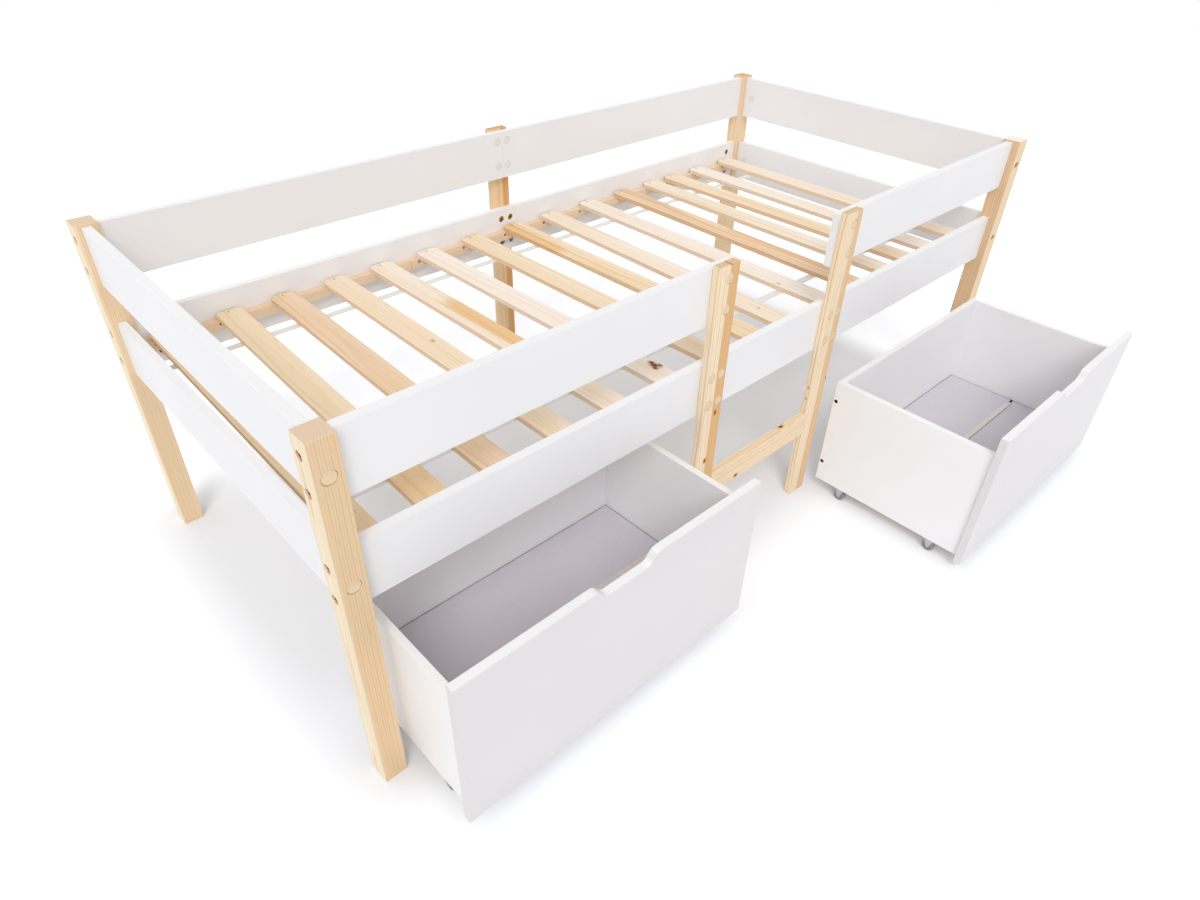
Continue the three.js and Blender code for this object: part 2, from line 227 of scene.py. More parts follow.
# Noises over a stick, each in features for a metre along the grain and across it
FIBRES, SWAYS, STREAKS = (9.0, 620.0), (1.3, 4.0), (1.6, 70.0)
DUCTS, RAGS = (26.0, 260.0), (60.0, 300.0)
SEED_STEP = 0.137
# How far noise moves the rings, where in a ring latewood grows and stops, and the faintest ring's share
SWAY, HEAVE = 34, 20
LATE_RISE, LATE_STOP, FAINTEST = (0.55, 0.92), (0.93, 1.0), 0.2
# How far noise moves the edges of heartwood and stains, and how wide those edges are
HEART_WAVE, HEART_RAG, HEART_EDGE = 8, 4, (-1.5 * MM, 2.5 * MM)
STAIN_WAVE, STAIN_RAG, STAIN_END, STAIN_SIDE = 26, 90, 60, 5
# How squarely a face looks across the stick, or along it, where it begins to look sawn, with painted shade on
# the sides, and fully does
SIDE_LOOK, END_LOOK = (0.6, 0.95), (0.75, 0.9)
Knot = namedtuple("Knot", "along side across radius darkness")
KNOT_HALO, KNOT_CORE, HALO_SHARE = rgb(188, 118, 58), rgb(84, 38, 16), 0.7
# In radii of a knot: its ragged edge, its core's edge, its halo, and how far off and how far rings bend
KNOT_RAG, CORE_EDGE, HALO_REACH, BEND_REACH, BEND = 0.9, (0.8, 1.2), 2.6, 4.5, 2.2
# What a step along the grain counts for, in a knot and in the rings' bend
KNOT_STRETCH, BEND_STRETCH = 0.6, 0.45


class Wood(Net):
    """Sawn softwood. Its rings run round a pith near the stick, which follows one axis with a small lean."""

    def __init__(self, name, grain, centre, seed, lean):
        super().__init__(name)
        index = AXES.index(grain)
        across = [i for i in range(3) if i != index]
        local = self.split(self.vector("SUBTRACT", self.place(), tuple(centre)))
        self.seed = seed
        self.along = local[index]
        self.first = self.times(self.along, -lean, local[across[0]])
        self.second = local[across[1]]
        normals = self.normals()
        self.facing = normals[index]
        self.sideways = [normals[i] for i in across]
        self.fibre = self.noise(self.drawn(*FIBRES), 1.0, 3.0, 0.6)
        self.sway = self.split(self.noise(self.drawn(*SWAYS), 1.0, 2.0, colour=True))

    def drawn(self, along, across):
        """A place for noise that is drawn out along the grain, in features for each metre."""
        return self.join(self.times(self.along, along, SEED_STEP * self.seed),
                         self.times(self.first, across),
                         self.times(self.second, across))

    def moved(self, value, noise, reach):
        """A length, moved either way by noise. reach is in millimetres."""
        return self.times(self.less(noise, 0.5), reach * MM, value)

    def reach(self, knot, stretch):
        """The distance from a knot. It counts for less along the grain."""
        rise = self.times(self.less(self.along, knot.along * MM), stretch)
        side = self.first if knot.side == "first" else self.second
        return self.vector("LENGTH", self.join(rise, self.less(side, knot.across * MM), 0.0))

    def rings(self, spacing, pith, knots):
        """The share of latewood, from 0 to 1. The rings bend aside at knots."""
        x = self.moved(self.less(self.first, pith[0] * MM), self.sway[0], SWAY)
        y = self.moved(self.less(self.second, pith[1] * MM), self.sway[1], HEAVE)
        for knot in knots:
            size = knot.radius * MM
            near = self.span(self.reach(knot, BEND_STRETCH), size, BEND_REACH * size, 1.0, 0.0, smooth=True)
            x = self.times(near, BEND * size, x)
        radius = self.math("SQRT", self.times(x, x, self.times(y, y)))
        turn = self.math("DIVIDE", radius, spacing * MM)
        share = self.math("FRACT", turn)
        count = self.math("ADD", self.math("FLOOR", turn), float(self.seed))
        own = self.add("ShaderNodeTexWhiteNoise", {"W": count}, noise_dimensions="1D").outputs["Value"]
        rise = self.span(share, *LATE_RISE, smooth=True)
        fall = self.span(share, *LATE_STOP, 1.0, 0.0)
        strength = self.span(own, 0.0, 1.0, FAINTEST, 1.0)
        return self.times(self.times(rise, fall), strength)

    def warm(self, colour, share):
        """Slow drifts of tone, and long warm streaks."""
        broad = self.noise(self.drawn(*SWAYS), 0.9, 1.0)
        colour = self.tint(self.span(broad, 0.35, 0.75, 0.0, 0.35), colour, DRIFT)
        long = self.noise(self.drawn(*STREAKS), 1.0, 2.0)
        return self.tint(self.span(long, 0.46, 0.68, 0.0, share), colour, STREAK)

    def streaks(self, colour, late, share):
        """Fibres and short resin ducts."""
        ducts = self.span(self.noise(self.drawn(*DUCTS), 1.0, 1.0), 0.68, 0.80, 0.0, 0.3)
        colour = self.blend(self.span(self.fibre, 0.25, 0.75, share, 0.0), colour, late)
        return self.blend(ducts, colour, shade(late, 0.7, 0.7, 0.7))

    def heart(self, colour, toward, low, high, warmth):
        """Darker wood beside a wavy edge, whose place goes from low to high over an upright's height."""
        side = self.times(self.second, toward[1], self.times(self.first, toward[0]))
        edge = self.span(self.along, -HALF_POST * MM, HALF_POST * MM, low * MM, high * MM)
        ragged = self.moved(self.moved(side, self.sway[2], HEART_WAVE), self.fibre, HEART_RAG)
        inside = self.span(self.less(ragged, edge), *HEART_EDGE, smooth=True)
        return self.tint(self.times(inside, warmth), colour, HEARTWOOD)

    def patch(self, colour, low, high, left, right, warmth):
        """A warm stain between two places along the stick and two across it."""
        along = self.moved(self.along, self.fibre, STAIN_RAG)
        side = self.moved(self.first, self.sway[2], STAIN_WAVE)
        share = warmth
        for value, edge, width in ((along, low, STAIN_END), (along, high, -STAIN_END),
                                   (side, left, STAIN_SIDE), (side, right, -STAIN_SIDE)):
            within = self.span(value, edge * MM, (edge + width) * MM, smooth=True)
            share = self.times(within, share)
        return self.tint(share, colour, PATCH)

    def knot(self, colour, knot):
        """A dark eye in a brown halo."""
        size = knot.radius * MM
        rags = self.noise(self.drawn(*RAGS), 1.0, 2.0)
        distance = self.moved(self.reach(knot, KNOT_STRETCH), rags, KNOT_RAG * knot.radius)
        halo = self.span(distance, size, HALO_REACH * size, HALO_SHARE * knot.darkness, 0.0, smooth=True)
        inner, outer = CORE_EDGE
        core = self.span(distance, inner * size, outer * size, knot.darkness ** 2, 0.0, smooth=True)
        return self.blend(core, self.blend(halo, colour, KNOT_HALO), KNOT_CORE)

    def sawn_and_shaded_sides(self, colour, share, way):
        """Darker wood where the face looks one way across the stick, 0 or 1: partly rough sawn wood, partly
        painted shade.
        """
        side = self.span(self.math("ABSOLUTE", self.sideways[way]), *SIDE_LOOK, 0.0, share)
        return self.tint(side, colour, SAWN_SIDE_SHADE)

    def sawn_ends(self, colour, end, band):
        """Darker, speckled end grain where the face looks along the stick."""
        is_end = self.span(self.math("ABSOLUTE", self.facing), *END_LOOK)
        pores = self.noise(self.join(self.first, self.second, self.along), 0.9 * FINE, 3.0, 0.7)
        sawn = self.blend(self.times(band, 0.5), end, shade(end, 0.74, 0.70, 0.64))
        sawn = self.blend(self.span(pores, 0.35, 0.7, 0.0, 0.3), sawn, shade(end, 0.84, 0.80, 0.76))
        return self.blend(is_end, colour, sawn)


def timber(name, tone, grain, centre, seed, ring=3.2, pith=(-70, -40), contrast=0.8, fibre=0.15, streak=0.3,
           lean=0.0, sawn=0.0, shaded_side_way=0, heart=None, patch=None, knots=()):
    """The material of one stick. ring is a ring's width, and pith the rings' start from the middle. sawn
    darkens its sides, partly as painted shade.
    """
    wood = Wood(name, grain, centre, seed, lean)
    knots = [Knot(*values) for values in knots]
    early, end = WOODS[tone]
    late = shade(early, *LATEWOOD)
    band = wood.rings(ring, pith, knots)
    colour = wood.blend(wood.times(band, contrast), early, late)
    colour = wood.warm(colour, streak)
    colour = wood.streaks(colour, late, fibre)
    if heart:
        colour = wood.heart(colour, **heart)
    if patch:
        colour = wood.patch(colour, *patch)
    # Painted shade, in part: the sides facing one way across the stick are darkened
    if sawn:
        colour = wood.sawn_and_shaded_sides(colour, sawn, shaded_side_way)
    colour = wood.sawn_ends(colour, end, band)
    for knot in knots:
        colour = wood.knot(colour, knot)
    height = wood.times(wood.fibre, 0.6, wood.times(band, 0.4))
    rough = wood.span(wood.fibre, *NOISE_REACH, 0.48, 0.62)
    return wood.finish(colour, rough, wood.bump(height, 0.15 * MM, 0.5), Specular_IOR_Level=0.35)


def metal(name, colour, roughness):
    """Plated metal with a fine mottle."""
    net = Net(name)
    place = net.place()
    spots = net.noise(place, 1.4 * FINE, 3.0, 0.6)
    clouds = net.noise(place, 0.06 * FINE, 2.0)
    tone = net.blend(net.span(spots, *NOISE_MIDDLE), shade(colour, 0.86, 0.86, 0.86), colour)
    tone = net.blend(net.span(clouds, 0.4, 0.7, 0.0, 0.25), tone, shade(colour, 0.8, 0.8, 0.8))
    rough = net.span(spots, *NOISE_REACH, roughness - 0.07, roughness + 0.08)
    return net.finish(tone, rough, net.bump(spots, 0.02 * MM, 0.4), Metallic=1.0)


def plastic(name, colour, roughness):
    """Moulded plastic with a faint flow pattern."""
    net = Net(name)
    place = net.place()
    swirl = net.noise(place, 0.09 * FINE, 2.0)
    grain = net.noise(place, 2.2 * FINE, 2.0)
    tone = net.blend(net.span(swirl, *NOISE_MIDDLE), shade(colour, 0.9, 0.9, 0.9), colour)
    rough = net.span(grain, *NOISE_REACH, roughness - 0.05, roughness + 0.07)
    return net.finish(tone, rough, net.bump(grain, 0.02 * MM, 0.5), Specular_IOR_Level=0.5)


def drawer_paper(side):
    """A drawer's thin bottom: a mauve-grey, faintly fibrous facing, with painted shade along its edges where
    it meets the boards.
    """
    net = Net(f"{side}_drawer_floor_paper")
    place = net.place()
    x, y, z = net.split(place)
    fibres = net.join(net.times(x, 60.0), net.times(y, 420.0), z)
    fleck = net.noise(fibres, 1.0, 3.0, 0.6)
    cloud = net.noise(place, 6.0, 3.0)
    tone = net.blend(net.span(fleck, *NOISE_MIDDLE), rgb(212, 207, 215), rgb(221, 216, 224))
    tone = net.blend(net.span(cloud, 0.35, 0.7, 0.0, 0.4), tone, rgb(206, 200, 209))
    low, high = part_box(f"{side}_drawer_floor")
    insets = [net.math("MINIMUM", net.less(value, near), net.less(far, value))
              for value, near, far in ((x, low.x, high.x), (y, low.y, high.y))]
    # Painted shade: a dark line along the floor's edges, where it meets the boards
    painted_edge_shade = net.span(net.math("MINIMUM", *insets), 1.0 * MM, 3.0 * MM, 1.0, 0.0)
    tone = net.blend(painted_edge_shade, tone, rgb(122, 114, 120))
    rough = net.span(fleck, *NOISE_REACH, 0.48, 0.60)
    return net.finish(tone, rough, net.bump(fleck, 0.03 * MM, 0.4), Specular_IOR_Level=0.3)


RIB_PITCH, THREAD_PITCH = 1.6, 1.1


def webbing():
    """Flat woven tape: ribs across it and threads along it."""
    net = Net("woven_tape")
    place = net.place()
    x, y, z = net.split(place)
    weft = net.math("SINE", net.times(x, 2 * math.pi / (RIB_PITCH * MM)))
    warp = net.math("SINE", net.times(y, 2 * math.pi / (THREAD_PITCH * MM)))
    weave = net.times(net.times(weft, warp), 0.5, 0.5)
    fuzz = net.noise(place, 0.8 * FINE, 2.0)
    tone = net.blend(weave, rgb(228, 227, 223), rgb(246, 246, 243))
    tone = net.blend(net.span(fuzz, *NOISE_MIDDLE, 0.0, 0.3), tone, rgb(222, 220, 215))
    rough = net.span(fuzz, *NOISE_REACH, 0.8, 0.9)
    height = net.times(fuzz, 0.4, weave)
    return net.finish(tone, rough, net.bump(height, 0.25 * MM, 0.8), Sheen_Weight=0.2,
                      Specular_IOR_Level=0.2)


# Mesh helpers. Shapes are in millimetres, corners and places in metres

ROUND, AXLE_ROUND, WHEEL_ROUND = 32, 24, 48
WELD_REACH, TINY = 0.01, 1e-6
# How far a cutter reaches out of the wood
OVERRUN = 2
# Degrees: the least angle of an edge that is eased, and the widest that is shaded as a curve
EASE_ANGLE = 40
SOFT, CRISP = 40, 35


def mesh_object(name, bm, *materials, smooth=None):
    bmesh.ops.recalc_face_normals(bm, faces=bm.faces)
    data = bpy.data.meshes.new(name)
    bm.to_mesh(data)
    bm.free()
    obj = bpy.data.objects.new(name, data)
    bpy.context.scene.collection.objects.link(obj)
    for material in materials:
        data.materials.append(material)
    if smooth is not None:
        data.shade_smooth()
        data.set_sharp_from_angle(angle=math.radians(smooth))
    return obj


def basis(direction, place):
    """Turns +Z to a direction, and moves the origin to a place."""
    return Matrix.Translation(place) @ direction.to_track_quat("Z", "Y").to_matrix().to_4x4()


def circle(radius):
    return lambda angle: radius


def hexagon(across_flats):
    sector = math.pi / 3
    return lambda angle: across_flats / 2 / math.cos((angle + sector / 2) % sector - sector / 2)


def cross(length, width):
    """A plus-shaped recess, whose arms have that length from the centre and that width."""
    def radius(angle):
        large, small = sorted((abs(math.cos(angle)), abs(math.sin(angle))), reverse=True)
        return min(length / large, width / 2 / max(small, TINY))
    return radius


def stack(bm, rings, matrix, segments=ROUND, closed=True):
    """Joins rings, each a shape and a height, from first to last. It then closes both ends, or joins them.

    It returns the last ring's faces."""
    loops = []
    for shape, height in rings:
        angles = [2 * math.pi * i / segments for i in range(segments)]
        points = [Vector((shape(a) * math.cos(a), shape(a) * math.sin(a), height)) * MM for a in angles]
        loops.append([bm.verts.new(matrix @ point) for point in points])
    pairs = list(zip(loops, loops[1:]))
    last = []
    if closed:
        bm.faces.new(list(reversed(loops[0])))
        last.append(bm.faces.new(loops[-1]))
    else:
        pairs.append((loops[-1], loops[0]))
    for low, high in pairs:
        made = []
        for i in range(segments):
            j = (i + 1) % segments
            made.append(bm.faces.new((low[i], low[j], high[j], high[i])))
    return last + made


def plate(bm, outline, matrix, thickness):
    """A flat plate of an outline in millimetres. Its sides run along the matrix's Z axis."""
    near = [bm.verts.new(matrix @ (Vector((x, y, 0)) * MM)) for x, y in outline]
    far = [bm.verts.new(matrix @ (Vector((x, y, thickness)) * MM)) for x, y in outline]
    bm.faces.new(near)
    bm.faces.new(list(reversed(far)))
    for i in range(len(near)):
        j = (i + 1) % len(near)
        bm.faces.new((near[i], far[i], far[j], near[j]))


def block(bm, low, high, bevel=0.0, segments=2):
    """A box between two corners with its edges eased."""
    made = bmesh.ops.create_cube(bm, size=1.0)
    size, centre = high - low, (high + low) / 2
    for vertex in made["verts"]:
        vertex.co = Vector(vertex.co[i] * size[i] for i in range(3)) + centre
    if bevel:
        edges = {edge for vertex in made["verts"] for edge in vertex.link_edges}
        bmesh.ops.bevel(bm, geom=list(edges), offset=bevel * MM, segments=segments, profile=0.5,
                        affect="EDGES")


def bar(bm, centre, size, bevel=0.0, segments=2):
    """A box round a centre in metres, of a size in millimetres."""
    half = Vector(size) * MM / 2
    block(bm, centre - half, centre + half, bevel, segments)


def weld(obj):
    """Joins a CAD board's corners, which arrive split."""
    if "weld" not in obj.modifiers:
        obj.modifiers.new("weld", "WELD").merge_threshold = WELD_REACH * MM


def ease(node, width, segments=3):
    """Rounds a board's edges a little."""
    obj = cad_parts[node]
    weld(obj)
    bevel = obj.modifiers.new("eased_edges", "BEVEL")
    bevel.width = width * MM
    bevel.segments = segments
    bevel.limit_method = "ANGLE"
    bevel.angle_limit = math.radians(EASE_ANGLE)
    bevel.harden_normals = True


def cut(node, body, name, bm):
    """Takes a hidden shape out of a board."""
    cutter = mesh_object(f"{name}_{node}", bm)
    cutter.hide_render = True
    cutter.hide_viewport = True
    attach(cutter, body)
    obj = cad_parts[node]
    weld(obj)
    taken = obj.modifiers.new(name, "BOOLEAN")
    taken.operation = "DIFFERENCE"
    taken.solver = "EXACT"
    taken.object = cutter


def bores(node, body, places, radius, depth):
    """Cuts round holes in a board. places are pairs of a point on its face and the direction out of it."""
    bm = bmesh.new()
    for point, out in places:
        stack(bm, [(circle(radius), -depth), (circle(radius), OVERRUN)], basis(out, point))
    cut(node, body, "bores", bm)


def turned(name, places, rings, material, smooth):
    """Round pieces of one shape, one at each place."""
    bm = bmesh.new()
    for point, out in places:
        stack(bm, rings, basis(out, point))
    return mesh_object(name, bm, material, smooth=smooth)


def dress(node, material):
    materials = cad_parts[node].data.materials
    materials.clear()
    materials.append(material)


# Rails, posts, stiles, the rung and the middle post

RAILS = [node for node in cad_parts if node.startswith("rail_")]
RAIL_EASE, POST_EASE, STILE_EASE = 1.6, 1.2, 1.5
HALF_POST = 380
# sawn darkens a post's sides, partly as rough sawn wood and partly as painted shade
POSTS = {
    "post_front_left": dict(ring=3.6, pith=(-48, 4), seed=1, contrast=0.7, streak=0.15, sawn=0.4, shaded_side_way=1,
                            heart=dict(toward=(0.7, -0.7), low=0, high=0, warmth=0.25)),
    "post_front_right": dict(tone="blond", ring=5.0, pith=(-60, 45), seed=2, sawn=0.45),
    "post_back_left": dict(ring=3.8, pith=(-52, -6), seed=3, contrast=0.6, streak=0.15, sawn=0.25, shaded_side_way=1,
                           heart=dict(toward=(0.7, -0.7), low=-4, high=4, warmth=0.25)),
    "post_back_right": dict(tone="honey", ring=5.0, pith=(64, -35), seed=4),
}
STILES = {
    "stile_left": dict(ring=5.5, pith=(-80, -52), seed=5, contrast=1.0,
                       heart=dict(toward=(1, 0), low=-6, high=2, warmth=1.0),
                       knots=((50, "first", 10.5, 2.8, 1.0), (-69, "first", -5, 2.8, 1.0),
                              (380, "first", 3, 1.2, 0.8))),
    "stile_right": dict(ring=5.5, pith=(-66, -40), seed=6, contrast=1.0,
                        heart=dict(toward=(1, 0), low=-2, high=8, warmth=0.7),
                        knots=((-51, "second", 0.5, 2.0, 0.55), (-82, "second", 0.5, 1.8, 0.55),
                               (-40, "first", 27, 2.2, 0.9))),
    "post_back_middle": dict(tone="amber", ring=7.0, pith=(-30, -110), seed=7,
                             heart=dict(toward=(1, 0), low=2, high=8, warmth=1.0)),
}
RUNG_KNOTS = ((-86, "second", -21, 2.8, 1.0), (89, "first", 2, 3.2, 1.0))


def dress_uprights():
    for table, tone in ((POSTS, "post"), (STILES, "stile")):
        for node, look in table.items():
            dress(node, timber(f"pine_{node}", grain="Z", centre=middle(node), **{"tone": tone, **look}))
    dress("rung", timber("pine_rung", "straw", "X", middle("rung"), seed=8, ring=6.0, pith=(-30, 70),
                         contrast=1.0, knots=RUNG_KNOTS))


# Slats and what carries them

SLAT_EASE, LEDGER_EASE, STRAP_EASE = 1.0, 0.8, 0.3
# Each slat's wood, its rings' width, start and contrast, and what else it has
SLATS = (
    ("honey", 5, (-60, 20), 0.5, {}),
    ("straw", 7, (10, -60), 0.6, dict(patch=(-520, -260, -60, 60, 0.5))),
    ("tan", 6, (6, -42), 0.9, dict(fibre=0.3, streak=0.4)),
    ("cream", 6, (-50, -40), 0.5, dict(knots=((27.5, "first", 9.5, 3.0, 0.55),))),
    ("pale", 6, (20, -70), 0.6, dict(patch=(-150, 200, -12, 90, 1.0))),
    ("white", 8, (-30, -60), 0.4, dict(knots=((-356, "first", 14.5, 5.4, 1.0), (-345, "first", 18, 3.0, 1.0),
                                              (-365, "first", 7, 2.8, 1.0), (-364, "first", 23, 2.8, 1.0)))),
    ("cream", 7, (40, -50), 0.5, dict(streak=0.45)),
    ("straw", 5, (-20, -60), 0.8, dict(streak=0.5, patch=(180, 520, -60, 4, 0.7))),
    ("pale", 7, (30, -40), 0.4, dict(knots=((-337, "first", 0, 2.2, 0.5),))),
    ("white", 8, (-40, -60), 0.4, dict(knots=((-287, "first", -19.5, 2.4, 0.55),))),
    ("tan", 6, (14, -50), 0.9, dict(streak=0.6, patch=(-420, 60, 6, 60, 0.5))),
    ("pale", 7, (-20, -60), 0.5, {}),
    ("cream", 6, (20, -60), 0.6, dict(streak=0.5)),
    ("white", 7, (50, -40), 0.4, {}),
    ("pale", 6, (-40, -50), 0.5, {}),
)
SLAT_NODES = [f"slat_{number:02d}" for number in range(1, len(SLATS) + 1)]
# The second value is how far a slat's sides darken: partly sawn wood, partly painted shade
FIRST_SLAT_SEED, SLAT_SIDE_SHADE = 11, 0.5
SEAM_GROOVE, SEAM_DEPTH = 0.7, 3
# Each ledger: where its free face looks, and its timber's seed
LEDGERS = {"ledger_front": (BACKWARD, 31), "ledger_back": (FRONTWARD, 32)}
LEDGER_PIECES = 3


def average(places):
    return sum(places, Vector()) / len(places)


def lean_of(node):
    """How far a slat's middle line moves along X for each step along Y."""
    places = [vertex.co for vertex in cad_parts[node].data.vertices]
    halfway = middle(node).y
    back = average([place for place in places if place.y > halfway])
    front = average([place for place in places if place.y < halfway])
    run = back - front
    return run.x / run.y


def ledger_seams(node):
    """The places along a ledger where its lengths of timber meet."""
    low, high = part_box(node)
    return [low.x + (high.x - low.x) * piece / LEDGER_PIECES for piece in range(1, LEDGER_PIECES)]


def cut_seams(node, out):
    """Fine grooves where a ledger's lengths of timber meet."""
    low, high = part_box(node)
    size = (SEAM_GROOVE, 2 * SEAM_DEPTH, (high.z - low.z) / MM + OVERRUN)
    bm = bmesh.new()
    for x in ledger_seams(node):
        bar(bm, Vector((x, face_of(node, out), middle(node).z)), size)
    cut(node, "bed_frame", "seams", bm)


def dress_slats():
    for seed, (node, look) in enumerate(zip(SLAT_NODES, SLATS), FIRST_SLAT_SEED):
        tone, ring, pith, contrast, others = look
        dress(node, timber(f"pine_{node}", tone, "Y", middle(node), seed, ring, pith, contrast,
                           lean=lean_of(node), sawn=SLAT_SIDE_SHADE, **others))
        ease(node, SLAT_EASE)
    for node, (out, seed) in LEDGERS.items():
        dress(node, timber(f"pine_{node}", "tan", "X", middle(node), seed, ring=3.6, pith=(-44, -30),
                           contrast=0.5))
        cut_seams(node, out)
        ease(node, LEDGER_EASE)
    for node in ("slat_strap_front", "slat_strap_back"):
        dress(node, webbing_material)
        ease(node, STRAP_EASE)


# Fasteners of the bed. DEPTH is a bore's, SEAT is above its floor, and SINK is below the wood's face

PLUG_DEPTH, PLUG_SEAT, PLUG_EASE = 5, 0.5, 0.5
# The posts whose plugs are missing, so that the bolts into the end rails show too
BARE_POSTS = ("post_front_right",)
# Each kind of plug: the radius of its bore, its own radius and how far it sits below the face
POST_PLUG, STILE_PLUG = (13.0, 12.3, 1.6), (11.2, 10.7, 0.2)
BOLT_BORE, BOLT_DEPTH, BOLT_SEAT = 8.6, 6, 0.1
BOLT_RADIUS, BOLT_SINK, BOLT_EASE = 6.0, 1.6, 0.6
# A ring of painted shade lies under each bolt, at the bottom of its bore
SHADE_RING_RADIUS, SHADE_RING_SINK = 8.4, 2.8
SOCKET_FLATS, SOCKET_TAPER, SOCKET_DEPTH = 6.0, 0.95, 2.4
CAP_BORE, CAP_DEPTH, CAP_SEAT = 9.6, 2, 0.3
CAP_RADIUS, CAP_SINK, CAP_EASE = 9.0, 0.3, 0.4
CROWN_RADIUS, CROWN_RISE = 4.5, 0.1
# From a rail's middle to each of a pair, and from a seam and a rail's end to a bolt
PAIR_STEP, SEAM_OFFSET, NUT_SETBACK, END_SETBACK = 32, 15.5, 38, 30
UPPER_LIFT = 5
# How far right of its middle a stile's upper plugs are
STILE_SHIFTS = {"stile_left": 4, "stile_right": 3}
SCREW_PROUD, SCREW_HEAD, SCREW_LENGTH, RECESS_DEPTH = 0.1, 0.25, 1.6, 0.8
# In radii of a screw's head: its tip, its flat top, and the recess's arms at the top and at its floor
SCREW_TIP, SCREW_TOP, RECESS_TOP, RECESS_FLOOR = 0.45, 0.93, (0.55, 0.26), (0.42, 0.20)
SLAT_SCREW_RADIUS, SLAT_SCREW_SETBACK = 2.2, 10
LEDGER_SCREW_RADIUS, LEDGER_SCREW_LIFT = 3.6, 4
LEDGER_SCREWS, LEDGER_SCREW_START, LEDGER_SCREW_SPACE = 5, 24, 141


def plugs(node, places, kind):
    """Pine plugs set below the face in round bores."""
    bore, radius, sink = kind
    bores(node, "bed_frame", places, bore, PLUG_DEPTH)
    rings = [(circle(radius), PLUG_SEAT - PLUG_DEPTH), (circle(radius), -sink - PLUG_EASE),
             (circle(radius - PLUG_EASE), -sink)]
    obj = turned(f"plugs_{node}", places, rings, plug_timber, SOFT)
    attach(obj, "bed_frame")


def bolt_heads(name, places):
    """Flat furniture bolts with a hexagon socket, on dark rings at the bottom of their bores. The rings and
    the sockets are painted shade.
    """
    foot, top = BOLT_SEAT - BOLT_DEPTH, -BOLT_SINK
    shade_ring = [(circle(SHADE_RING_RADIUS), foot), (circle(SHADE_RING_RADIUS), -SHADE_RING_SINK)]
    rings = [(circle(BOLT_RADIUS - BOLT_EASE), foot), (circle(BOLT_RADIUS), top - BOLT_EASE),
             (circle(BOLT_RADIUS - BOLT_EASE), top), (hexagon(SOCKET_FLATS), top),
             (hexagon(SOCKET_TAPER * SOCKET_FLATS), top - SOCKET_DEPTH)]
    bm = bmesh.new()
    for point, out in places:
        # Painted shade: the rings and the sockets take the dark material
        for face in stack(bm, shade_ring, basis(out, point)) + stack(bm, rings, basis(out, point)):
            face.material_index = 1
    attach(mesh_object(name, bm, brass, painted_socket_shade, smooth=CRISP), "bed_frame")


def screw_heads(name, body, places, radius, sink=0.0):
    """Countersunk screws with a cross recess."""
    top = SCREW_PROUD - sink
    recess, floor = [cross(length * radius, width * radius) for length, width in (RECESS_TOP, RECESS_FLOOR)]
    rings = [(circle(SCREW_TIP * radius), top - SCREW_LENGTH), (circle(radius), top - SCREW_HEAD),
             (circle(SCREW_TOP * radius), top), (recess, top), (floor, top - RECESS_DEPTH)]
    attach(turned(name, places, rings, steel, CRISP), body)


def caps(node, places):
    """Low caps over bolts, in shallow bores of a painted rail."""
    bores(node, "bed_frame", places, CAP_BORE, CAP_DEPTH)
    rings = [(circle(CAP_RADIUS), CAP_SEAT - CAP_DEPTH), (circle(CAP_RADIUS), -CAP_SINK - CAP_EASE),
             (circle(CAP_RADIUS - CAP_EASE), -CAP_SINK), (circle(CROWN_RADIUS), CROWN_RISE - CAP_SINK)]
    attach(turned(f"caps_{node}", places, rings, cap_plastic, SOFT), "bed_frame")


def heights(rail, lift=0.0):
    """The two heights of a pair of fasteners across a rail."""
    return [middle(rail).z + (lift + side * PAIR_STEP) * MM for side in (1, -1)]


def fasten_posts():
    """Bolts into the long rails, and plugs over the bolts into the end rails, on all but the bare posts."""
    for end, out in ENDS:
        for face, outward in (("front", FRONTWARD), ("back", BACKWARD)):
            node = f"post_{face}_{end}"
            x, y = face_of(node, out), face_of(node, outward)
            end_rails = [f"rail_{end}_{level}" for level in LEVELS]
            plug_places = [(Vector((middle(rail).x, y, middle(rail).z)), outward) for rail in end_rails]
            long_rails = [f"rail_{face}_{level}_{end}" for level in LEVELS]
            bolt_places = [(Vector((x, middle(rail).y, z)), out)
                           for rail in long_rails for z in heights(rail)]
            ease(node, POST_EASE)
            if node in BARE_POSTS:
                bolt_places += plug_places
            else:
                plugs(node, plug_places, POST_PLUG)
            bores(node, "bed_frame", bolt_places, BOLT_BORE, BOLT_DEPTH)
            bolt_heads(f"bolts_{node}", bolt_places)


def fasten_stiles():
    """Plugs over the bolts that hold the front rails and the back rails to their stiles."""
    for node in (*STILES, "rung"):
        ease(node, STILE_EASE)
    upper, lower = heights("rail_front_upper_left", UPPER_LIFT), heights("rail_front_lower_left")
    for node, shift in STILE_SHIFTS.items():
        spots = [(shift, z) for z in upper]
        spots += [(side * SEAM_OFFSET, z) for z in lower for side in (-1, 1)]
        stile_plugs(node, FRONTWARD, spots)
    spots = [(side * SEAM_OFFSET, z) for z in upper + lower for side in (-1, 1)]
    stile_plugs("post_back_middle", BACKWARD, spots)


def stile_plugs(node, out, spots):
    """Plugs in a stile. Each spot is a step from its middle in millimetres, and a height in metres."""
    x, y = middle(node).x, face_of(node, out)
    places = [(Vector((x + across * MM, y, z)), out) for across, z in spots]
    plugs(node, places, STILE_PLUG)


